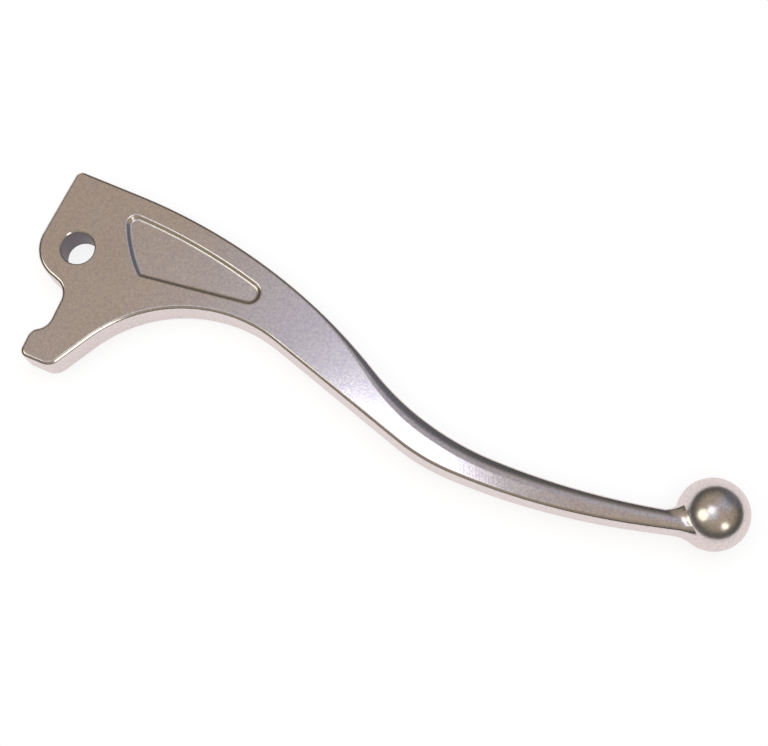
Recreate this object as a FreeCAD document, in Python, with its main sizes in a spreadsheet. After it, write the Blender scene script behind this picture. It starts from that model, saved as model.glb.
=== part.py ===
"""Lever blade of a motorcycle's hydraulic clutch: one polished aluminium casting.

Frame, in millimetres: the origin is on the pivot bore's axis, half way through the plate. X runs
along the blade towards the ball end, Y points to the finger side and Z along the bore.
"""

import FreeCAD, Part
import math
import os
import Sketcher

# Driving dimensions, in millimetres and degrees.
SIZES = {
    # plate and pivot
    "thickness": 9.0,
    "bore_diameter": 8.0,
    "bore_chamfer": 0.2,
    # head, from its square corner down to the lobe about the bore
    "head_top": 17.8,
    "head_corner": 1.8,
    "head_lean": 3.0,
    "lobe_radius": 8.9,
    "lobe_shift": 0.45,
    # notch between the lobe and the tongue
    "notch_angle": 18.0,
    "notch_reach": 1.8,
    "notch_corner": 4.1,
    "shoulder_radius": 4.2,
    # tongue that pushes the piston
    "tongue_reach": 1.45,
    "tongue_drop": 28.6,
    "tongue_back": 2.85,
    "tongue_face": 3.6,
    "tongue_toe": 1.3,
    "tongue_offset": 4.5,
    "tongue_heel": 3.9,
    "tongue_angle": 61.4,
    "tongue_side": 8.4,
    # grip side of the blade
    "arch_radius": 34.4,
    "grip_fall": 16.9,
    "grip_run": 35.9,
    "grip_bend": 50.6,
    "grip_tip": 173.0,
    # finger side of the blade
    "finger_start": 7.7,
    "finger_radius": 140.5,
    "finger_bend": 68.0,
    "blade_width": 7.1,
    "neck_width": 4.5,
    # edges of the plate: small all round, growing along the outer half of the finger side
    "edge_radius": 0.9,
    "finger_land": 2.6,
    "neck_land": 0.5,
    # ball end
    "pivot_to_ball": 159.6,
    "ball_diameter": 16.8,
    "ball_lift": 3.0,
    "neck_radius": 5.5,
    # shallow recess in the front face of the head
    "recess_depth": 0.7,
    "recess_wall": 1.0,
    "recess_margin": 4.7,
    "recess_tip": 2.9,
    "recess_slope": 8.1,
    "recess_drop": 3.0,
    "recess_gap": 11.8,
    "recess_bearing": 33.0,
    "recess_back": 36.0,
    "recess_top_corner": 2.4,
    "recess_low_corner": 1.6,
}

# How the sketches name their own origin and the points of a curve.
ORIGIN = (-1, 1)
START, END, CENTRE = 1, 2, 3

# Distance under which a point counts as lying on an edge.
TOLERANCE = 1e-4


def polar(length, degrees):
    """Point at a distance and bearing from the origin."""
    angle = math.radians(degrees)
    return FreeCAD.Vector(length * math.cos(angle), length * math.sin(angle), 0)


def left_of(heading):
    """Unit vector to the left of a heading in degrees."""
    return polar(1, heading + 90)


def meet(first, first_radius, second, second_radius):
    """Left-hand meeting point of two circles, seen from the first centre to the second."""
    apart = second - first
    along = (first_radius**2 - second_radius**2 + apart.Length**2) / (2 * apart.Length)
    aside = math.sqrt(first_radius**2 - along**2)
    ahead = apart / apart.Length
    return first + ahead * along + FreeCAD.Vector(-ahead.y, ahead.x, 0) * aside


def bearing(start, end):
    """Bearing in degrees from one point to another."""
    return math.degrees(math.atan2(end.y - start.y, end.x - start.x))


def named_edges(shape):
    """Each edge of a shape with the name that features know it by."""
    return [(f"Edge{number}", edge) for number, edge in enumerate(shape.Edges, start=1)]


def edge_number(shape, curve, height):
    """Number of the edge that a sketch's curve has left at a height."""
    middle = curve.value((curve.FirstParameter + curve.LastParameter) / 2)
    probe = Part.Vertex(middle.x, middle.y, height)
    for number, edge in enumerate(shape.Edges, start=1):
        if edge.distToShape(probe)[0] < TOLERANCE:
            return number
    raise RuntimeError("an edge of the outline is missing")


class Outline:
    """Closed run of lines and arcs in a sketch, drawn anticlockwise round the material."""

    def __init__(self, sketch):
        self.sketch = sketch
        self.pieces = []

    def line(self, start, end):
        """Straight piece."""
        geometry = self.sketch.addGeometry(Part.LineSegment(start, end), False)
        self.pieces.append((geometry, START, END))
        return geometry

    def arc(self, centre, radius, heading, end_heading):
        """Arc from one heading to another: to the left if the heading grows, else to the right."""
        circle = Part.Circle(centre, FreeCAD.Vector(0, 0, 1), radius)
        if end_heading > heading:
            first, last, ends = heading - 90, end_heading - 90, (START, END)
        else:
            first, last, ends = end_heading + 90, heading + 90, (END, START)
        span = Part.ArcOfCircle(circle, math.radians(first), math.radians(last))
        geometry = self.sketch.addGeometry(span, False)
        self.pieces.append((geometry, *ends))
        return geometry

    def join(self, corners=()):
        """Make each piece tangent to the next, but only meet it after the pieces in corners."""
        following = self.pieces[1:] + self.pieces[:1]
        for (geometry, _, end), (other, start, _) in zip(self.pieces, following):
            kind = "Coincident" if geometry in corners else "Tangent"
            self.sketch.addConstraint(Sketcher.Constraint(kind, geometry, end, other, start))

    def bind(self, expression, kind, *where):
        """Add a dimension whose value follows an expression of the sheet."""
        value = float(self.sketch.evalExpression(expression))
        if kind == "Angle":
            value = math.radians(value)
        index = self.sketch.addConstraint(Sketcher.Constraint(kind, *where, value))
        self.sketch.setExpression(f"Constraints[{index}]", expression)


def make_sheet(doc):
    """Sheet that holds the driving dimensions, one alias to a row."""
    sheet = doc.addObject("Spreadsheet::Sheet", "sizes")
    for row, (alias, value) in enumerate(SIZES.items(), start=1):
        sheet.set(f"A{row}", alias)
        sheet.set(f"B{row}", str(value))
        sheet.setAlias(f"B{row}", alias)
    doc.recompute()
    return sheet


def make_sketch(body, name, height=None):
    """Sketch on the body's mid plane, or at a height over it."""
    plane = next(f for f in body.Origin.OriginFeatures if f.Role == "XY_Plane")
    sketch = body.newObject("Sketcher::SketchObject", name)
    sketch.AttachmentSupport = [(plane, "")]
    sketch.MapMode = "FlatFace"
    if height:
        sketch.setExpression("AttachmentOffset.Base.z", height)
    return sketch


def draw_plan(sketch, size):
    """Outline of the plate, seen along the bore. Returns its pieces by name."""
    plan = Outline(sketch)
    named = {}

    left_heading = -90 - size.head_lean
    notch_heading = -size.notch_angle
    inward = left_of(left_heading)
    across = left_of(notch_heading)
    lobe = FreeCAD.Vector(-size.lobe_shift, 0, 0)
    lobe_start = lobe - inward * size.lobe_radius
    lobe_end = lobe - across * size.lobe_radius

    corner_y = size.head_top - size.head_corner
    corner_from_lobe = size.head_corner - size.lobe_radius
    corner_x = (corner_from_lobe + inward.dot(lobe) - inward.y * corner_y) / inward.x
    corner = FreeCAD.Vector(corner_x, corner_y, 0)

    notch_x = size.notch_reach - size.notch_corner
    notch_from_lobe = -size.lobe_radius - size.notch_corner
    notch_y = (notch_from_lobe + across.dot(lobe) - across.x * notch_x) / across.y
    notch = FreeCAD.Vector(notch_x, notch_y, 0)

    toe_x = size.tongue_toe - size.tongue_reach
    toe = FreeCAD.Vector(toe_x, size.tongue_toe - size.tongue_drop, 0)
    back = FreeCAD.Vector(size.tongue_back - size.tongue_reach, toe.y + size.tongue_face, 0)
    heel = FreeCAD.Vector(size.tongue_offset, size.tongue_heel - size.tongue_drop, 0)
    shoulder_x = size.notch_reach - size.shoulder_radius
    reach = size.tongue_back + size.shoulder_radius
    shoulder_y = back.y + math.sqrt(reach**2 - (back.x - shoulder_x) ** 2)
    shoulder = FreeCAD.Vector(shoulder_x, shoulder_y, 0)
    shoulder_heading = bearing(back, shoulder) - 270

    named["left"] = plan.line(corner - inward * size.head_corner, lobe_start)
    named["lobe"] = plan.arc(lobe, size.lobe_radius, left_heading, notch_heading)
    named["notch_roof"] = plan.line(lobe_end, notch + across * size.notch_corner)
    named["notch_corner"] = plan.arc(notch, size.notch_corner, notch_heading, -90)
    wall_top = notch + FreeCAD.Vector(size.notch_corner, 0, 0)
    wall_foot = shoulder + FreeCAD.Vector(size.shoulder_radius, 0, 0)
    named["notch_wall"] = plan.line(wall_top, wall_foot)
    named["shoulder"] = plan.arc(shoulder, size.shoulder_radius, -90, shoulder_heading)
    named["tongue_back"] = plan.arc(back, size.tongue_back, shoulder_heading, -90)
    face_top = back - FreeCAD.Vector(size.tongue_back, 0, 0)
    face_foot = toe - FreeCAD.Vector(size.tongue_toe, 0, 0)
    named["tongue_face"] = plan.line(face_top, face_foot)
    named["tongue_toe"] = plan.arc(toe, size.tongue_toe, -90, 0)
    end_start = toe - FreeCAD.Vector(0, size.tongue_toe, 0)
    end_stop = heel - FreeCAD.Vector(0, size.tongue_heel, 0)
    named["tongue_end"] = plan.line(end_start, end_stop)
    named["tongue_heel"] = plan.arc(heel, size.tongue_heel, 0, size.tongue_angle)

    side_start = heel - left_of(size.tongue_angle) * size.tongue_heel
    side_end = side_start + polar(size.tongue_side, size.tongue_angle)
    arch = side_end - left_of(size.tongue_angle) * size.arch_radius
    grip_start = arch + left_of(-size.grip_fall) * size.arch_radius
    grip_end = grip_start + polar(size.grip_run, -size.grip_fall)
    bend = grip_end + left_of(-size.grip_fall) * size.grip_bend
    grip_low = bend.y - size.grip_bend
    grip_tip = FreeCAD.Vector(bend.x, grip_low + size.grip_tip, 0)
    grip_rise = math.degrees(math.asin((size.pivot_to_ball - bend.x) / size.grip_tip))
    blade_foot = grip_tip - left_of(grip_rise) * size.grip_tip
    named["tongue_side"] = plan.line(side_start, side_end)
    named["arch"] = plan.arc(arch, size.arch_radius, size.tongue_angle, -size.grip_fall)
    named["grip_run"] = plan.line(grip_start, grip_end)
    named["grip_bend"] = plan.arc(bend, size.grip_bend, -size.grip_fall, 0)
    named["grip_tip"] = plan.arc(grip_tip, size.grip_tip, 0, grip_rise)

    crown = FreeCAD.Vector(size.finger_start, size.head_top, 0)
    finger_low = grip_low + size.blade_width
    finger_reach = size.finger_radius + size.finger_bend
    finger_fall = math.degrees(math.acos(1 - (size.head_top - finger_low) / finger_reach))
    finger = crown - FreeCAD.Vector(0, size.finger_radius, 0)
    hollow = finger + left_of(-finger_fall) * finger_reach
    hollow_low = FreeCAD.Vector(hollow.x, finger_low, 0)
    blade_top = blade_foot + FreeCAD.Vector(0, size.neck_width, 0)
    finger_rise = 2 * bearing(hollow_low, blade_top)
    finger_tip_radius = (blade_top.x - hollow_low.x) / math.sin(math.radians(finger_rise))
    finger_tip = hollow_low + FreeCAD.Vector(0, finger_tip_radius, 0)
    named["blade_end"] = plan.line(blade_foot, blade_top)
    named["finger_tip"] = plan.arc(finger_tip, finger_tip_radius, 180 + finger_rise, 180)
    named["finger_bend"] = plan.arc(hollow, size.finger_bend, 180, 180 - finger_fall)
    named["finger"] = plan.arc(finger, size.finger_radius, 180 - finger_fall, 180)
    named["head_top"] = plan.line(crown, corner + FreeCAD.Vector(0, size.head_corner, 0))
    named["head_corner"] = plan.arc(corner, size.head_corner, 180, 270 - size.head_lean)

    plan.join(corners=(named["grip_tip"], named["blade_end"]))
    return plan, named


def size_plan(plan, named):
    """Tie the outline of the plate to the sheet."""
    sketch = plan.sketch
    sketch.addConstraint(Sketcher.Constraint("Horizontal", named["lobe"], CENTRE, *ORIGIN))
    for piece in ("head_top", "tongue_end"):
        sketch.addConstraint(Sketcher.Constraint("Horizontal", named[piece]))
    for piece in ("notch_wall", "tongue_face", "blade_end"):
        sketch.addConstraint(Sketcher.Constraint("Vertical", named[piece]))
    radii = {
        "lobe": "lobe_radius",
        "head_corner": "head_corner",
        "notch_corner": "notch_corner",
        "shoulder": "shoulder_radius",
        "tongue_back": "tongue_back",
        "tongue_toe": "tongue_toe",
        "tongue_heel": "tongue_heel",
        "arch": "arch_radius",
        "grip_bend": "grip_bend",
        "grip_tip": "grip_tip",
        "finger": "finger_radius",
        "finger_bend": "finger_bend",
    }
    for piece, alias in radii.items():
        plan.bind(f"sizes.{alias}", "Radius", named[piece])
    headings = {
        "left": "-90 - sizes.head_lean",
        "notch_roof": "-sizes.notch_angle",
        "tongue_side": "sizes.tongue_angle",
        "grip_run": "-sizes.grip_fall",
    }
    for piece, heading in headings.items():
        plan.bind(heading, "Angle", named[piece])
    for piece in ("tongue_face", "tongue_side", "grip_run"):
        plan.bind(f"sizes.{piece}", "Distance", named[piece])
    plan.bind("sizes.grip_fall", "Angle", named["grip_bend"])
    low_points = ((named["finger_bend"], END), (named["finger_bend"], CENTRE))
    sketch.addConstraint(Sketcher.Constraint("Vertical", *low_points[0], *low_points[1]))
    plan.bind("sizes.head_top", "DistanceY", *ORIGIN, named["head_top"], START)
    plan.bind("sizes.finger_start", "DistanceX", *ORIGIN, named["head_top"], START)
    plan.bind("sizes.notch_reach", "DistanceX", *ORIGIN, named["notch_wall"], START)
    plan.bind("sizes.lobe_shift", "DistanceX", named["lobe"], CENTRE, *ORIGIN)
    plan.bind("sizes.tongue_reach", "DistanceX", named["tongue_face"], START, *ORIGIN)
    plan.bind("sizes.tongue_drop", "DistanceY", named["tongue_end"], START, *ORIGIN)
    plan.bind("sizes.tongue_offset", "DistanceX", *ORIGIN, named["tongue_heel"], CENTRE)
    plan.bind("sizes.pivot_to_ball", "DistanceX", *ORIGIN, named["blade_end"], START)
    plan.bind("sizes.blade_width", "DistanceY", named["grip_bend"], END, named["finger_bend"], END)
    plan.bind("sizes.neck_width", "DistanceY", named["blade_end"], START, named["blade_end"], END)


def draw_recess(sketch, size, inset):
    """Wing-shaped outline of the recess, drawn in from its rim by the value of an expression.

    Its upper edge runs beside the finger side, and its back bulges towards the bore.
    """
    shrink = float(sketch.evalExpression(inset))
    recess = Outline(sketch)
    upper = FreeCAD.Vector(size.finger_start, size.head_top - size.finger_radius, 0)
    upper_radius = size.finger_radius - size.recess_margin - shrink
    back = polar(size.recess_gap + size.recess_back, size.recess_bearing)
    back_radius = size.recess_back - shrink
    tip_radius = size.recess_tip - shrink
    top_radius = size.recess_top_corner - shrink
    low_radius = size.recess_low_corner - shrink

    ahead = polar(1, size.recess_slope)
    aside = left_of(size.recess_slope)
    floor_line = shrink - size.recess_drop

    def on_floor(circle, circle_radius, radius, side):
        """Centre of an arc that touches the lower edge and, from inside, a larger circle."""
        rise = floor_line + radius
        half_chord = math.sqrt((circle_radius - radius) ** 2 - (rise - circle.dot(aside)) ** 2)
        return ahead * (circle.dot(ahead) + side * half_chord) + aside * rise

    tip = on_floor(upper, upper_radius, tip_radius, 1)
    low = on_floor(back, back_radius, low_radius, -1)
    top = meet(upper, upper_radius - top_radius, back, back_radius - top_radius)
    tip_heading = bearing(upper, tip) + 90
    top_heading = bearing(upper, top) + 90
    back_heading = bearing(back, top) + 450
    low_heading = bearing(back, low) + 450

    lower_edge = recess.line(low - aside * low_radius, tip - aside * tip_radius)
    tip_arc = recess.arc(tip, tip_radius, size.recess_slope, tip_heading)
    upper_arc = recess.arc(upper, upper_radius, tip_heading, top_heading)
    top_arc = recess.arc(top, top_radius, top_heading, back_heading)
    back_arc = recess.arc(back, back_radius, back_heading, low_heading)
    low_arc = recess.arc(low, low_radius, low_heading, 360 + size.recess_slope)
    recess.join()

    recess.bind(f"sizes.recess_tip - {inset}", "Radius", tip_arc)
    recess.bind(f"sizes.finger_radius - sizes.recess_margin - {inset}", "Radius", upper_arc)
    recess.bind(f"sizes.recess_top_corner - {inset}", "Radius", top_arc)
    recess.bind(f"sizes.recess_back - {inset}", "Radius", back_arc)
    recess.bind(f"sizes.recess_low_corner - {inset}", "Radius", low_arc)
    recess.bind("sizes.recess_slope", "Angle", lower_edge)
    recess.bind(f"sizes.recess_drop - {inset}", "Distance", *ORIGIN, lower_edge)
    recess.bind("sizes.finger_start", "DistanceX", *ORIGIN, upper_arc, CENTRE)
    recess.bind("sizes.head_top - sizes.finger_radius", "DistanceY", *ORIGIN, upper_arc, CENTRE)
    back_distance = "(sizes.recess_gap + sizes.recess_back)"
    back_bearing = "(sizes.recess_bearing * 1 deg)"
    recess.bind(f"{back_distance} * cos{back_bearing}", "DistanceX", *ORIGIN, back_arc, CENTRE)
    recess.bind(f"{back_distance} * sin{back_bearing}", "DistanceY", *ORIGIN, back_arc, CENTRE)


def make_plate(doc, body, size):
    """Plate of even thickness, padded to both sides of the mid plane."""
    sketch = make_sketch(body, "plan")
    plan, named = draw_plan(sketch, size)
    size_plan(plan, named)
    plate = body.newObject("PartDesign::Pad", "plate")
    plate.Profile = sketch
    plate.SideType = "Symmetric"
    plate.setExpression("Length", "sizes.thickness")
    doc.recompute()
    return sketch, named


def make_bore(doc, body, size):
    """Pivot bore through the plate, with a small chamfer at each mouth."""
    sketch = make_sketch(body, "bore_circle")
    circle = Part.Circle(FreeCAD.Vector(), FreeCAD.Vector(0, 0, 1), size.bore_diameter / 2)
    outline = Outline(sketch)
    geometry = sketch.addGeometry(circle, False)
    sketch.addConstraint(Sketcher.Constraint("Coincident", geometry, CENTRE, *ORIGIN))
    outline.bind("sizes.bore_diameter", "Diameter", geometry)
    bore = body.newObject("PartDesign::Pocket", "bore")
    bore.Profile = sketch
    bore.SideType = "Symmetric"
    bore.Type = "ThroughAll"
    doc.recompute()
    mouths = [
        name
        for name, edge in named_edges(bore.Shape)
        if edge.Closed and abs(edge.BoundBox.XMax - size.bore_diameter / 2) < TOLERANCE
    ]
    chamfer = body.newObject("PartDesign::Chamfer", "bore_chamfer")
    chamfer.Base = (bore, mouths)
    chamfer.setExpression("Size", "sizes.bore_chamfer")
    doc.recompute()


def make_recess(doc, body, size):
    """Shallow recess with sloping walls."""
    front = "sizes.thickness / 2"
    rim = make_sketch(body, "recess_rim", front)
    draw_recess(rim, size, "0")
    floor = make_sketch(body, "recess_floor", f"{front} - sizes.recess_depth")
    draw_recess(floor, size, "sizes.recess_wall")
    recess = body.newObject("PartDesign::SubtractiveLoft", "recess")
    recess.Profile = rim
    recess.Sections = [floor]
    recess.Ruled = True
    doc.recompute()


def round_edges(doc, body, sketch, named, size):
    """Round every edge of the outline, more and more along the outer half of the finger side."""
    finger_round = (size.thickness - size.finger_land) / 2
    neck_round = size.neck_width - size.edge_radius - size.neck_land
    growing = {
        "finger_bend": (finger_round, size.edge_radius),
        "finger_tip": (neck_round, finger_round),
    }
    even = (size.edge_radius, size.edge_radius)
    edges = []
    for piece, geometry in named.items():
        if piece != "blade_end":
            for height in (size.thickness / 2, -size.thickness / 2):
                number = edge_number(body.Shape, sketch.Geometry[geometry], height)
                edges.append((number, *growing.get(piece, even)))
    rounded = doc.addObject("Part::Fillet", "rounded")
    rounded.Base = body
    rounded.Edges = edges
    doc.recompute()
    return rounded


def add_ball(doc, blade, sketch, named, size):
    """Ball end on the blade, with a hollow neck all round."""
    end = sketch.Geometry[named["blade_end"]]
    centre = (end.StartPoint + end.EndPoint) / 2 + FreeCAD.Vector(0, size.ball_lift, 0)
    ball = doc.addObject("Part::Sphere", "ball")
    ball.setExpression("Radius", "sizes.ball_diameter / 2")
    ball.Placement.Base = centre
    joined = doc.addObject("Part::Fuse", "blade_and_ball")
    joined.Base = blade
    joined.Tool = ball
    doc.recompute()
    neck_edges = []
    for number, edge in enumerate(joined.Shape.Edges, start=1):
        kinds = {face.Surface.TypeId for face in joined.Shape.ancestorsOfType(edge, Part.Face)}
        if "Part::GeomSphere" in kinds and len(kinds) > 1:
            neck_edges.append((number, size.neck_radius, size.neck_radius))
    neck = doc.addObject("Part::Fillet", "neck")
    neck.Base = joined
    neck.Edges = neck_edges
    doc.recompute()
    return neck


doc = FreeCAD.newDocument("clutch_lever")
sizes = make_sheet(doc)
blank = doc.addObject("PartDesign::Body", "blank")
plan_sketch, plan_pieces = make_plate(doc, blank, sizes)
make_bore(doc, blank, sizes)
make_recess(doc, blank, sizes)
blade = round_edges(doc, blank, plan_sketch, plan_pieces, sizes)
lever = add_ball(doc, blade, plan_sketch, plan_pieces, sizes)
lever.Label = "lever"

for item in doc.Objects:
    if {"Invalid", "Error"} & set(item.State):
        raise RuntimeError(f"{item.Label} was not made")
if lever.Shape.isNull() or not lever.Shape.isValid() or len(lever.Shape.Solids) != 1:
    raise RuntimeError("the lever is not one sound solid")

os.makedirs("parts", exist_ok=True)
lever.Shape.exportStep(f"parts/{lever.Label}.step")
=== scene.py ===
"""Polished cast clutch lever lying on a white table. Lengths in millimetres until they are placed."""

import math

import bpy
import numpy as np
from mathutils import Matrix, Vector
from mathutils.geometry import delaunay_2d_cdt


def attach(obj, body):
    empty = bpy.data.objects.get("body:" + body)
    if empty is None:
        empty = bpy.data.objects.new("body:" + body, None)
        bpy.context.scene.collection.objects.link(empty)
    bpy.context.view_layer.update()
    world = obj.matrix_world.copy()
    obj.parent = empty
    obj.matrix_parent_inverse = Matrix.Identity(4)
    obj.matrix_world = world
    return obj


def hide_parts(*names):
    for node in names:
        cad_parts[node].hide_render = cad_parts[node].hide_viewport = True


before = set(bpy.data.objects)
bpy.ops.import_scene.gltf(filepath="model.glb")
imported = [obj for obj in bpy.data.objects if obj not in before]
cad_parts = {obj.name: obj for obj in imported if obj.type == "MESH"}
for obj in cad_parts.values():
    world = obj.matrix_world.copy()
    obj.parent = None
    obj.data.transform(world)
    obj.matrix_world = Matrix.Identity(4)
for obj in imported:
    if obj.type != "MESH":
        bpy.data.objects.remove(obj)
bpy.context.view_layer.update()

MM = 0.001

# Axes of the photograph on the table: to the right, and away from the viewer.
TURN = math.radians(-23.029)
RIGHT = Vector((math.cos(TURN), -math.sin(TURN), 0.0))
AWAY = Vector((math.sin(TURN), math.cos(TURN), 0.0))
OVERHEAD = Vector((0.0, 0.0, 1.0))
# Slant of the middle of the blade in the photograph.
BLADE_SLANT = math.radians(-32.0)
# Point of the lever's mid plane at the middle of the picture.
MIDDLE = Vector((77.724, 1.282, 0.0)) * MM

# Camera's distance and lean from the vertical, and the photograph's focal length and width in pixels.
CAMERA_AWAY = 330.0
CAMERA_LEAN = math.radians(14.0)
FOCAL_LENGTH, PICTURE_WIDTH = 1416.0, 768.0

# Half of the plate's thickness, and the radius of the bore with the size of its chamfers.
HALF = 4.5
BORE = 4.0
CHAMFER_WIDE = 0.28
CHAMFER_DEEP = 0.2

# Lean of the bevel between a rounding's crown and its edge.
KNEE = math.radians(34.0)
# Crown, bevel and edge of the plate's rounding round the head, and what is added to them along the
# finger side, near the neck on that side and near the neck on the grip side.
ROUNDING_AT_HEAD = np.array([0.7, 0.3, 0.7])
ROUNDING_ON_FINGER = np.array([3.1, 0.7, 0.4])
ROUNDING_AT_NECK = np.array([0.0, -0.6, 0.0])
ROUNDING_ON_GRIP = np.array([0.6, -0.1, 0.7])
# How far from the neck each of these additions ends, and the length over which it fades.
FINGER_FADE = (95.0, 40.0)
NECK_FADE = (40.0, 30.0)
GRIP_FADE = (36.0, 36.0)

# Depth of the recess, width of its wall, what the wall loses along the lower edge and gains at the
# left, and the radii of its lip and its root.
RECESS_DEPTH = 0.7
RECESS_WALL = 1.0
LOWER_WALL_LESS = 0.3
LEFT_WALL_MORE = 0.1
RECESS_LIP = 0.8
RECESS_ROOT = 1.0

BALL = 8.4
BALL_CENTRE = np.array([159.6, 0.037, 0.0])
# Radius of the neck's hollow on the flat faces, the finger side and the grip side.
HOLLOW_FLAT, HOLLOW_FINGER, HOLLOW_GRIP = 6.0, 5.5, 8.5
# Angle between the neck and the ball where they meet, on the flat faces and the finger side.
CREASE_FLAT, CREASE_FINGER = math.radians(25.2), math.radians(36.0)
# Lean of the rounding from which the neck belongs to a side and no longer to a flat face.
SIDE_LEAN = math.radians(62.0)
# Bow of the line across a flat face where the neck begins.
NECK_BOW = 0.05

# Marks on the faces that tell the material what it is on: for roughness, grain, and the painted shade
# on the bore's wall.
POLISHED, HANDLED, RECESSED, BORED = 0.0, 0.2, 0.5, 1.0
# Roughness that each mark adds.
DULLNESS = ((POLISHED, 0.0), (HANDLED, 0.08), (RECESSED, 0.05), (BORED, 0.3))
# Share of its own light in what is seen of the table.
TABLE_GLOW = 0.8


def arc(radius, turn):
    """Piece of a path that turns by an angle in degrees, to the left if it is positive."""
    return radius * math.radians(abs(turn)), turn


def straight(length):
    """Straight piece of a path."""
    return length, 0.0


# Outline of the plate, anticlockwise from the neck along the finger side and round the head.
OUTLINE_START = (146.0, -4.2482)
OUTLINE_HEADING = 192.2778
OUTLINE = (
    arc(175.659, -12.2778),
    arc(68.0, -28.957),
    arc(140.5, 28.957),
    straight(14.4212),
    arc(1.8, 87.0),
    straight(15.6498),
    arc(8.9, 75.0),
    straight(2.2788),
    arc(4.1, -72.0),
    straight(4.6939),
    arc(4.2, -57.3839),
    arc(2.85, 57.3839),
    straight(2.9),
    arc(2.0, 90.0),
    straight(3.95),
    arc(3.9, 61.4),
    straight(8.4),
    arc(34.4, -78.3),
    straight(35.9),
    arc(50.6, 16.9),
    arc(173.0, 15.0058),
)

# Rim of the recess, anticlockwise along its lower edge, tip, upper edge and back.
RECESS_START = (16.7815, -0.6419)
RECESS_HEADING = 8.1
RECESS = (
    straight(25.4419),
    arc(2.9, 157.1391),
    arc(135.8, 13.6856),
    arc(2.4, 118.2729),
    arc(36.0, 19.6390),
    arc(1.6, 51.2634),
)


def walk(start, heading, pieces, step, turn_step):
    """Points, headings and distances along a run of tangent arcs and straights.

    Each piece turns evenly from its first heading to its last, so a point of it lies on the chord
    of the arc walked so far: as long as the arc times sin(half turn) / (half turn), at the first
    heading plus half of the turn. A straight has no points between its ends.
    """
    place = np.array(start)
    points, headings, distances = [], [], []
    gone = 0.0
    heading = math.radians(heading)
    for length, turn in pieces:
        count = 1
        if turn:
            count = max(math.ceil(length / step), math.ceil(abs(turn) / turn_step))
        share = np.arange(count + 1) / count
        turned = math.radians(turn) * share
        chord = length * share * np.sinc(turned / (2.0 * np.pi))
        bearing = heading + turned / 2.0
        run = place + np.stack([chord * np.cos(bearing), chord * np.sin(bearing)], axis=1)
        points.append(run[:-1])
        headings.append((heading + turned)[:-1])
        distances.append((gone + length * share)[:-1])
        place = run[-1]
        heading += math.radians(turn)
        gone += length
    points.append(place[None])
    headings.append(np.array([heading]))
    distances.append(np.array([gone]))
    return np.concatenate(points), np.concatenate(headings), np.concatenate(distances)


def ease(value):
    """Smooth step from 0 to 1."""
    value = np.clip(value, 0.0, 1.0)
    return value * value * (3.0 - 2.0 * value)


def fade(distance, end, length):
    """Column of values that fall smoothly from 1 to 0 over a length that ends at a distance."""
    return ease((end - distance) / length)[:, None]


class Skin:
    """Points, faces and face-corner normals of one closed surface, gathered patch by patch."""

    def __init__(self):
        self.points = np.empty((0, 3))
        self.faces = []
        self.normals = []
        self.marks = []

    def add(self, points):
        """Keep a grid of points, and give their numbers in the same grid."""
        flat = points.reshape(-1, 3)
        first = len(self.points)
        self.points = np.concatenate([self.points, flat])
        return np.arange(first, first + len(flat)).reshape(points.shape[:-1])

    def cover(self, corners, normals, mark):
        """Faces by the numbers of their corners, each wound to agree with its normals."""
        place = self.points[corners]
        across = np.cross(place[:, 2] - place[:, 0], place[:, -1] - place[:, 1])
        if corners.shape[1] == 3:
            across = np.cross(place[:, 1] - place[:, 0], place[:, 2] - place[:, 0])
        inward = np.einsum("ij,ij->i", across, normals.sum(axis=1)) < 0.0
        corners, normals = corners.copy(), normals.copy()
        corners[inward] = corners[inward, ::-1]
        normals[inward] = normals[inward, ::-1]
        self.faces += corners.tolist()
        self.normals.append(normals.reshape(-1, 3))
        self.marks.append(np.full(corners.size, mark))

    def grid(self, numbers, normals, mark=POLISHED):
        """Quads between the neighbouring rows and columns of a grid of points."""

        def corners(values):
            ring = [values[:-1, :-1], values[1:, :-1], values[1:, 1:], values[:-1, 1:]]
            return np.stack(ring, axis=2)

        quads = corners(numbers).reshape(-1, 4)
        self.cover(quads, corners(normals).reshape(-1, 4, 3), mark)

    def fill(self, loops, up, mark=POLISHED):
        """Flat face inside an outer loop of point numbers and outside the loops within it.

        The loops' Delaunay triangles are kept whose middle an upright ray finds inside: it crosses
        the loops an odd number of times.
        """
        numbers = np.concatenate(loops)
        first = np.cumsum([0] + [len(loop) for loop in loops[:-1]])
        edges = np.concatenate(
            [
                np.stack([np.arange(len(loop)), np.roll(np.arange(len(loop)), -1)], axis=1) + start
                for loop, start in zip(loops, first)
            ]
        )
        flat = self.points[numbers][:, :2]
        found = delaunay_2d_cdt([Vector(spot) for spot in flat], edges.tolist(), [], 0, 1e-7)
        order = np.array([source[0] for source in found[3]])
        triangles = order[np.array(found[2])]
        middle = flat[triangles].mean(axis=1)[:, None]
        begin, end = flat[edges[:, 0]], flat[edges[:, 1]]
        beside = (begin[:, 0] > middle[:, :, 0]) != (end[:, 0] > middle[:, :, 0])
        width = end[:, 0] - begin[:, 0]
        slope = (end[:, 1] - begin[:, 1]) / np.where(width == 0.0, 1.0, width)
        above = begin[:, 1] + (middle[:, :, 0] - begin[:, 0]) * slope > middle[:, :, 1]
        inside = (beside & above).sum(axis=1) % 2 == 1
        kept = numbers[triangles[inside]]
        normals = np.broadcast_to(np.array([0.0, 0.0, up]), (*kept.shape, 3))
        self.cover(kept, normals, mark)


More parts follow.
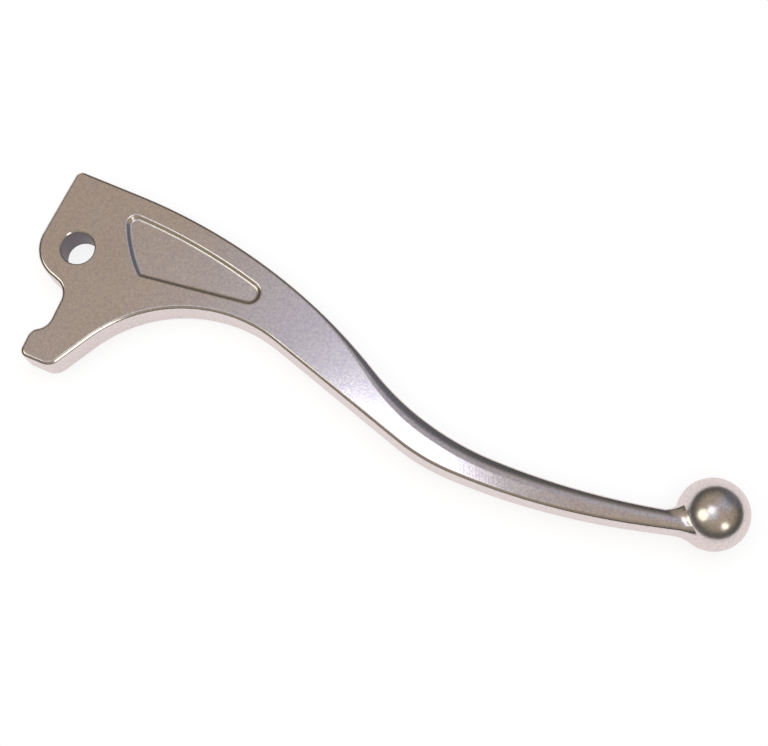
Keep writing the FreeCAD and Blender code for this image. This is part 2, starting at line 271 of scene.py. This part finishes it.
def skin_edge(skin):
    """Side of the plate: a rounded profile carried along the outline.

    Across the profile the surface leans from 0 on the front face to a quarter turn on the side
    wall, and back to 0 on the back face. It leans along an arc, the crown, up to the knee, keeps
    that lean on a bevel, and leans on along a second arc, the edge. All three are small round the
    head. They widen along the outer half of the finger side, and towards the neck the bevels narrow
    and the grip's arcs grow.
    """
    spots, headings, gone = walk(
        OUTLINE_START, OUTLINE_HEADING, OUTLINE, step=1.2, turn_step=5.0
    )
    rounding = (
        ROUNDING_AT_HEAD
        + ROUNDING_ON_FINGER * fade(gone, *FINGER_FADE)
        + ROUNDING_AT_NECK * fade(gone, *NECK_FADE)
        + ROUNDING_ON_GRIP * fade(gone[-1] - gone, *GRIP_FADE)
    )
    crown, bevel, edge = np.split(rounding, 3, axis=1)
    on_crown, on_edge = np.linspace(0.0, KNEE, 6), np.linspace(KNEE, np.pi / 2.0, 9)
    quarter = np.concatenate([on_crown, on_edge])
    bent = np.minimum(quarter, KNEE)
    passed = np.arange(len(quarter)) >= len(on_crown)
    out = (
        crown * np.sin(bent)
        + bevel * math.cos(KNEE) * passed
        + edge * (np.sin(quarter) - np.sin(bent))
    )
    sunk = (
        crown * (1.0 - np.cos(bent))
        + bevel * math.sin(KNEE) * passed
        + edge * (np.cos(bent) - np.cos(quarter))
    )
    inset = out[:, -1:] - out
    rise = HALF - sunk
    wall = np.linspace(1.0, -1.0, 9)[1:-1]
    straight_down = np.zeros((len(gone), len(wall)))
    inset = np.concatenate([inset, straight_down, inset[:, ::-1]], axis=1)
    height = np.concatenate([rise, rise[:, -1:] * wall, -rise[:, ::-1]], axis=1)
    lean = np.concatenate([quarter, np.full(len(wall), np.pi / 2.0), np.pi - quarter[::-1]])
    outward = np.stack([np.sin(headings), -np.cos(headings)], axis=1)
    plane = spots[:, None, :] - outward[:, None, :] * inset[:, :, None]
    points = np.concatenate([plane, height[:, :, None]], axis=2)
    sideways = outward[:, None, :] * np.sin(lean)[:, None]
    upward = np.broadcast_to(np.cos(lean)[:, None], (*height.shape, 1))
    normals = np.concatenate([sideways, upward], axis=2)
    numbers = skin.add(points)
    skin.grid(numbers, normals)
    return numbers, normals, headings


def skin_bore(skin):
    """Pivot bore: circles about its axis, down a chamfer, the wall and the other chamfer."""
    angle = np.linspace(0.0, 2.0 * np.pi, 96, endpoint=False)
    round_about = np.stack([np.cos(angle), np.sin(angle), np.zeros(len(angle))], axis=1)
    upward = np.array([0.0, 0.0, 1.0])
    wide = BORE + CHAMFER_WIDE
    deep = HALF - CHAMFER_DEEP
    rings = ((wide, HALF), (BORE, deep), (BORE, -deep), (wide, -HALF))
    numbers = np.stack([skin.add(round_about * radius + upward * level) for radius, level in rings])
    closed = np.concatenate([numbers, numbers[:, :1]], axis=1)
    inward = -np.concatenate([round_about, round_about[:1]])
    lean = math.atan2(CHAMFER_DEEP, CHAMFER_WIDE)
    leant, risen = inward * math.sin(lean), upward * math.cos(lean)
    bands = (leant + risen, inward, leant - risen)
    for band, (normal, mark) in enumerate(zip(bands, (POLISHED, BORED, POLISHED))):
        skin.grid(closed[band : band + 2], np.stack([normal, normal]), mark)
    return numbers[0], numbers[-1]


def skin_recess(skin):
    """Recess in the front face: a profile carried round its rim, and its floor.

    The profile rounds over the rim, runs down the sloping wall and rounds into the floor: an angle
    grows from 0 to the wall's slope and falls back to 0. The wall is steep along the lower edge,
    where its inward direction points to the finger side, and shallow at the left.
    """
    spots, headings, _ = walk(RECESS_START, RECESS_HEADING, RECESS, step=0.8, turn_step=6.0)
    spots, headings = spots[:-1], headings[:-1]
    inward = np.stack([-np.sin(headings), np.cos(headings)], axis=1)
    at_left, below = np.split(np.maximum(inward, 0.0), 2, axis=1)
    wall = RECESS_WALL - LOWER_WALL_LESS * below + LEFT_WALL_MORE * at_left
    slope = np.arctan2(RECESS_DEPTH, wall)
    over = slope * np.linspace(0.0, 1.0, 7)
    under = over[:, ::-1]
    lip_in = RECESS_LIP * (np.sin(over) - np.tan(slope / 2.0))
    lip_level = RECESS_LIP * (np.cos(over) - 1.0)
    root_in = wall + RECESS_ROOT * (np.tan(slope / 2.0) - np.sin(under))
    root_level = RECESS_ROOT * (1.0 - np.cos(under)) - RECESS_DEPTH
    inset = np.concatenate([lip_in, root_in], axis=1)
    level = HALF + np.concatenate([lip_level, root_level], axis=1)
    angle = np.concatenate([over, under], axis=1)
    plane = spots[:, None, :] + inward[:, None, :] * inset[:, :, None]
    numbers = skin.add(np.concatenate([plane, level[:, :, None]], axis=2))
    lean = inward[:, None, :] * np.sin(angle)[:, :, None]
    normals = np.concatenate([lean, np.cos(angle)[:, :, None]], axis=2)
    closed = np.concatenate([numbers, numbers[:1]])
    normals = np.concatenate([normals, normals[:1]])
    bend = over.shape[1]
    skin.grid(closed[:, :bend], normals[:, :bend])
    skin.grid(closed[:, bend - 1 :], normals[:, bend - 1 :], RECESSED)
    skin.fill([numbers[:, -1]], 1.0, RECESSED)
    return numbers[:, 0]


def skin_neck(skin, numbers, normals, headings):
    """Neck and ball, from the ring of points at the blade's end.

    In the plane of a ring point's own direction and spread, the ball is a circle. The spread points
    up from the flat face and turns level as the rounding leans. The point runs straight until a
    hollow arc, tangent to its line, meets that circle: with a crease on the flat face and the finger
    side, and with a wider arc and no crease on the grip side. From there it follows the ball's
    great circle to the far pole. Gives the ring's flat parts.
    """
    steps = np.linspace(0.0, 1.0, 9)[1:-1, None]
    finger, grip = skin.points[numbers[0]], skin.points[numbers[-1]]
    onward = np.array([math.cos(headings[-1]), math.sin(headings[-1]), 0.0])
    bow = NECK_BOW * 4.0 * steps * (1.0 - steps) * onward
    back = skin.add(finger[-1] + (grip[-1] - finger[-1]) * steps + bow)
    front = skin.add(grip[0] + (finger[0] - grip[0]) * steps + bow)
    ring = np.concatenate([numbers[0], back, numbers[-1, ::-1], front])
    start = skin.points[ring]
    flat = np.ones((len(steps), 1)) * np.array([0.0, 0.0, 1.0])
    normal = np.concatenate([normals[0], -flat, normals[-1, ::-1], flat])
    on_finger, on_grip = headings[0] + np.pi, headings[-1]
    turn = np.concatenate(
        [
            np.full(numbers.shape[1], on_finger),
            on_finger + (on_grip - on_finger) * steps[:, 0],
            np.full(numbers.shape[1], on_grip),
            on_grip + (on_finger - on_grip) * steps[:, 0],
        ]
    )
    along = np.stack([np.cos(turn), np.sin(turn), np.zeros(len(turn))], axis=1)
    level = ease(np.arccos(np.minimum(np.abs(normal[:, 2]), 1.0)) / SIDE_LEAN)[:, None]
    sideways = np.cross(along, np.array([0.0, 0.0, 1.0]))
    sideways *= np.sign(np.einsum("ij,ij->i", sideways, normal))[:, None]
    upright = np.array([0.0, 0.0, 1.0]) * np.sign(normal[:, 2:])
    swung = level * np.pi / 2.0
    spread_out = upright * np.cos(swung) + sideways * np.sin(swung)

    to_ball = BALL_CENTRE - start
    ahead = np.einsum("ij,ij->i", to_ball, along)
    out = np.einsum("ij,ij->i", to_ball, spread_out)
    aside = np.einsum("ij,ij->i", to_ball, np.cross(along, spread_out))
    circle = np.sqrt(BALL**2 - aside**2)
    fingerwards = (1.0 + spread_out[:, 1]) / 2.0
    beside = HOLLOW_GRIP + (HOLLOW_FINGER - HOLLOW_GRIP) * fingerwards
    hollow = HOLLOW_FLAT + (beside - HOLLOW_FLAT) * level[:, 0]
    extra = (CREASE_FLAT - CREASE_FINGER / 2.0) * (1.0 - level[:, 0])
    crease = CREASE_FINGER * fingerwards + extra
    apart = circle**2 + hollow**2 + 2.0 * circle * hollow * np.cos(crease)
    foot = ahead - np.sqrt(apart - (hollow - out) ** 2)
    short = (hollow**2 + apart - circle**2) / (2.0 * hollow * np.sqrt(apart))
    touch = np.arctan2(out - hollow, ahead - foot) - np.arccos(np.minimum(short, 1.0))

    share = np.linspace(0.0, 1.0, 17)[:, None]
    swing = -np.pi / 2.0 + (touch + np.pi / 2.0) * share
    run = (foot + hollow * np.cos(swing))[:, :, None]
    rise = (hollow + hollow * np.sin(swing))[:, :, None]
    flare = start + along * run + spread_out * rise
    uphill = np.gradient(flare, axis=0)
    round_about = np.roll(flare, -1, axis=1) - np.roll(flare, 1, axis=1)
    flare_normal = np.cross(uphill, round_about)
    flare_normal /= np.linalg.norm(flare_normal, axis=2, keepdims=True)
    outside = np.einsum("ijk,jk->ij", flare_normal, spread_out)[:, :, None]
    flare_normal = np.where(outside < 0.0, -flare_normal, flare_normal)
    flare_normal[0] = normal
    flare_numbers = skin.add(flare)

    def closed(values):
        return np.concatenate([values, values[:, :1]], axis=1)

    skin.grid(closed(np.stack([ring, flare_numbers[0]])), closed(np.stack([normal, normal])))
    skin.grid(closed(flare_numbers), closed(flare_normal), HANDLED)

    spoke = (flare[-1] - BALL_CENTRE) / BALL
    pole = BALL_CENTRE - start.mean(axis=0)
    pole /= np.linalg.norm(pole)
    apart = np.arccos(np.clip(spoke @ pole, -1.0, 1.0))[:, None]
    share = np.linspace(0.0, 1.0, 41)[:-1, None, None]
    sphere = (np.sin((1.0 - share) * apart) * spoke + np.sin(share * apart) * pole) / np.sin(apart)
    inner = skin.add(BALL_CENTRE + BALL * sphere[1:])
    ball_numbers = np.concatenate([flare_numbers[-1:], inner])
    skin.grid(closed(ball_numbers), closed(sphere), HANDLED)
    tip = skin.add(BALL_CENTRE + BALL * pole[None])[0]
    last = ball_numbers[-1]
    fan = np.stack([last, np.roll(last, -1), np.full(len(last), tip)], axis=1)
    rim = sphere[-1]
    fan_normals = np.stack([rim, np.roll(rim, -1, axis=0), np.ones_like(rim) * pole], axis=1)
    skin.cover(fan, fan_normals, HANDLED)
    return front, back


def make_lever(material):
    """The whole casting as one closed surface, with the normals of its true curves."""
    skin = Skin()
    numbers, normals, headings = skin_edge(skin)
    bore_front, bore_back = skin_bore(skin)
    recess_rim = skin_recess(skin)
    front, back = skin_neck(skin, numbers, normals, headings)
    skin.fill([np.concatenate([numbers[:, 0], front]), bore_front, recess_rim], 1.0)
    skin.fill([np.concatenate([numbers[:, -1], back[::-1]]), bore_back], -1.0)
    mesh = bpy.data.meshes.new("lever_casting")
    mesh.from_pydata((skin.points * MM).tolist(), [], skin.faces)
    mark = mesh.attributes.new("finish_and_shade", "FLOAT", "CORNER")
    mark.data.foreach_set("value", np.concatenate(skin.marks))
    mesh.shade_smooth()
    mesh.normals_split_custom_set(np.concatenate(skin.normals).tolist())
    mesh.materials.append(material)
    lever = bpy.data.objects.new("lever_casting", mesh)
    bpy.context.scene.collection.objects.link(lever)
    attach(lever, "root")
    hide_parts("lever")


def new_material(name):
    """Empty node material with its output node."""
    material = bpy.data.materials.new(name)
    material.use_nodes = True
    tree = material.node_tree
    tree.nodes.clear()
    output = tree.nodes.new("ShaderNodeOutputMaterial")
    return material, tree, output


def add(tree, kind, inputs=None, **settings):
    """New node, with its settings and the values or links of its inputs."""
    node = tree.nodes.new(kind)
    for key, value in settings.items():
        setattr(node, key, value)
    for key, value in (inputs or {}).items():
        if isinstance(value, bpy.types.NodeSocket):
            tree.links.new(value, node.inputs[key])
        else:
            node.inputs[key].default_value = value
    return node


def spread(tree, value, low, high, to_low, to_high):
    """Value carried from one range to another, held at its ends."""
    ends = {"From Min": low, "From Max": high, "To Min": to_low, "To Max": to_high}
    return add(tree, "ShaderNodeMapRange", {"Value": value, **ends}, clamp=True).outputs["Result"]


def ramp(tree, value, stops):
    """Colour that runs through stops, each a place and a colour, as a value grows."""
    node = add(tree, "ShaderNodeValToRGB", {0: value})
    elements = node.color_ramp.elements
    elements[0].position, elements[1].position = stops[0][0], stops[-1][0]
    for place, _ in stops[1:-1]:
        elements.new(place)
    for element, (_, colour) in zip(elements, stops):
        element.color = (*colour, 1.0)
    return node.outputs[0]


def blend(tree, share, first, second):
    """Colour between two colours."""
    inputs = {0: share, 6: first, 7: second}
    return add(tree, "ShaderNodeMix", inputs, data_type="RGBA").outputs[2]


def reckon(tree, operation, first, second):
    """Result of a sum with two values."""
    return add(tree, "ShaderNodeMath", {0: first, 1: second}, operation=operation).outputs[0]


def make_metal():
    """Polished casting: faint waves, grain and flecks, a grainier recess, a dull bore in painted
    shade.
    """
    material, tree, output = new_material("polished_casting")
    where = add(tree, "ShaderNodeTexCoord").outputs["Object"]
    finish_and_shade = add(tree, "ShaderNodeAttribute", attribute_name="finish_and_shade").outputs["Fac"]
    # Mask of the bore's wall, where painted shade darkens the colour.
    bore_shade_mask = spread(tree, finish_and_shade, 0.7, 0.8, 0.0, 1.0)
    recessed = spread(tree, finish_and_shade, 0.3, 0.4, 0.0, 1.0)
    dulled = ramp(tree, finish_and_shade, [(mark, (rise, rise, rise)) for mark, rise in DULLNESS])

    def noise(scale, detail):
        inputs = {"Vector": where, "Scale": scale, "Detail": detail}
        return add(tree, "ShaderNodeTexNoise", inputs).outputs[0]

    waves = noise(70.0, 1.0)
    grain = noise(2400.0, 2.0)
    speckle = noise(1700.0, 3.0)
    haze = noise(140.0, 3.0)

    wavy = add(tree, "ShaderNodeBump", {"Height": waves, "Strength": 0.15, "Distance": 0.0001})
    depth = spread(tree, recessed, 0.0, 1.0, 0.3, 0.7)
    grainy = add(
        tree,
        "ShaderNodeBump",
        {"Height": grain, "Strength": depth, "Distance": 0.00002, "Normal": wavy.outputs[0]},
    )
    rough = reckon(tree, "ADD", spread(tree, haze, 0.35, 0.7, 0.12, 0.17), dulled)
    flecks = spread(tree, speckle, 0.3, 0.7, 0.0, 1.0)
    alloy = blend(tree, flecks, (0.71, 0.69, 0.72, 1.0), (0.90, 0.87, 0.81, 1.0))
    # Painted shade: the bore's wall is coloured dark grey, as if in shadow.
    colour = blend(tree, bore_shade_mask, alloy, (0.19, 0.185, 0.205, 1.0))
    metal = add(
        tree,
        "ShaderNodeBsdfPrincipled",
        {"Base Color": colour, "Metallic": 1.0, "Roughness": rough, "Normal": grainy.outputs[0]},
    )
    tree.links.new(metal.outputs[0], output.inputs["Surface"])
    return material


def make_floor():
    """White table under the ball and the head, with a soft shadow, a little pink in the metal."""
    material, tree, output = new_material("white_table")
    paper = add(tree, "ShaderNodeBsdfDiffuse", {"Color": (0.9, 0.9, 0.9, 1.0)})
    path = add(tree, "ShaderNodeLightPath").outputs
    tint = blend(tree, path["Is Glossy Ray"], (1.0, 1.0, 1.0, 1.0), (0.82, 0.72, 0.72, 1.0))
    glow = add(tree, "ShaderNodeEmission", {"Color": tint, "Strength": 1.0})
    seen = reckon(tree, "MAXIMUM", path["Is Camera Ray"], path["Is Glossy Ray"])
    share = reckon(tree, "MULTIPLY", seen, TABLE_GLOW)
    mix = add(tree, "ShaderNodeMixShader", {0: share, 1: paper.outputs[0], 2: glow.outputs[0]})
    tree.links.new(mix.outputs[0], output.inputs["Surface"])
    mesh = bpy.data.meshes.new("table")
    half = 3.0
    head = -9.4 * MM
    fall = (BALL - HALF) * MM / (BALL_CENTRE[0] * MM - head)
    square = ((-half, -half), (half, -half), (half, half), (-half, half))
    corners = [(x, y, -HALF * MM - (x - head) * fall) for x, y in square]
    mesh.from_pydata(corners, [], [(0, 1, 2, 3)])
    mesh.materials.append(material)
    table = bpy.data.objects.new("table", mesh)
    bpy.context.scene.collection.objects.link(table)


def make_world():
    """Dim warm room: brown at the horizon, tan overhead.

    Soft round patches lie on it, each fading from an inner to an outer angle about its middle: a
    grey and a dusky one on the right beyond the lever, and two lavender ones above it.
    """
    world = bpy.data.worlds.new("room")
    bpy.context.scene.world = world
    world.use_nodes = True
    tree = world.node_tree
    tree.nodes.clear()
    output = tree.nodes.new("ShaderNodeOutputWorld")
    where = add(tree, "ShaderNodeTexCoord").outputs["Generated"]
    rise = add(tree, "ShaderNodeSeparateXYZ", {0: where}).outputs["Z"]
    room = (
        (0.0, (0.07, 0.07, 0.07)),
        (0.3, (0.10, 0.09, 0.08)),
        (0.6, (0.35, 0.29, 0.23)),
        (0.95, (0.43, 0.345, 0.28)),
    )
    colour = ramp(tree, rise, room)
    dusk = RIGHT * 0.689 + AWAY * 0.620 + OVERHEAD * 0.375
    cloud = RIGHT * 0.457 + AWAY * 0.412 + OVERHEAD * 0.788
    lobes = (
        (cloud, 28.0, 6.0, (0.44, 0.43, 0.50, 1.0)),
        (dusk, 32.0, 6.0, (0.14, 0.14, 0.165, 1.0)),
        (towards(0.0, 13.8), 9.0, 2.0, (0.57, 0.56, 0.68, 1.0)),
        (towards(-14.0, -8.0), 22.0, 4.0, (0.60, 0.59, 0.68, 1.0)),
    )
    for middle, outer, inner, tint in lobes:
        near = add(
            tree,
            "ShaderNodeVectorMath",
            {0: where, 1: middle.normalized()},
            operation="DOT_PRODUCT",
        ).outputs["Value"]
        ends = math.cos(math.radians(outer)), math.cos(math.radians(inner))
        colour = blend(tree, spread(tree, near, *ends, 0.0, 1.0), colour, tint)
    background = add(tree, "ShaderNodeBackground", {"Color": colour})
    tree.links.new(background.outputs[0], output.inputs["Surface"])


def make_lamp(name, aim, direction, away, width, height, radiance, colour):
    """Oval soft lamp some metres from a point along a direction, facing that point.

    Width and height are for a metre of distance, the width along the middle of the blade.
    """
    light = bpy.data.lights.new(name, "AREA")
    light.shape = "ELLIPSE"
    light.size = width * away
    light.size_y = height * away
    light.energy = radiance * math.pi * math.pi * light.size * light.size_y / 4.0
    light.color = colour
    lamp = bpy.data.objects.new(name, light)
    back = direction.normalized()
    bladeways = RIGHT * math.cos(BLADE_SLANT) + AWAY * math.sin(BLADE_SLANT)
    side = (bladeways - back * bladeways.dot(back)).normalized()
    turn = Matrix((side, back.cross(side), back)).transposed().to_4x4()
    lamp.matrix_world = Matrix.Translation(aim + back * away) @ turn
    bpy.context.scene.collection.objects.link(lamp)
    return lamp


def towards(right, away):
    """Direction that leans from the vertical by two angles in degrees."""
    return (
        OVERHEAD
        + RIGHT * math.tan(math.radians(right))
        + AWAY * math.tan(math.radians(away))
    )


def make_camera():
    """Camera of the photograph, leaning from the vertical towards the viewer."""
    back = OVERHEAD * math.cos(CAMERA_LEAN) - AWAY * math.sin(CAMERA_LEAN)
    up = AWAY * math.cos(CAMERA_LEAN) + OVERHEAD * math.sin(CAMERA_LEAN)
    place = MIDDLE + back * CAMERA_AWAY * MM
    lens = bpy.data.cameras.new("camera")
    lens.sensor_width = 36.0
    lens.lens = lens.sensor_width * FOCAL_LENGTH / PICTURE_WIDTH
    lens.clip_start = 0.01
    lens.clip_end = 100.0
    camera = bpy.data.objects.new("camera", lens)
    turn = Matrix((RIGHT, up, back)).transposed().to_4x4()
    camera.matrix_world = Matrix.Translation(place) @ turn
    bpy.context.scene.collection.objects.link(camera)
    bpy.context.scene.camera = camera


make_floor()
make_world()
make_lever(make_metal())
# Points that the lamps face: one on the outer half of the blade, and the ball.
blade = MIDDLE + RIGHT * 13.8 * MM - AWAY * 13.3 * MM
ball = Vector(BALL_CENTRE) * MM
make_lamp("blade_lamp", blade, towards(0.6, 11.7), 3.0, 0.14, 0.09, 0.42, (0.97, 0.97, 1.0))
make_lamp("top_lamp", ball, towards(-17.0, 6.5), 0.3, 0.37, 0.37, 1.5, (0.86, 0.86, 1.0))
make_lamp("side_lamp", ball, towards(-44.8, -9.8), 3.0, 0.60, 0.60, 1.25, (1.0, 0.98, 0.80))
make_lamp("low_lamp", ball, towards(31.2, -46.2), 3.0, 0.36, 0.36, 1.5, (1.0, 0.98, 0.86))
fill = make_lamp("fill_lamp", MIDDLE, OVERHEAD, 3.0, 1.2, 1.2, 2.8, (0.98, 0.98, 1.0))
fill.visible_glossy = False
make_camera()

bpy.context.scene.view_settings.view_transform = "Standard"
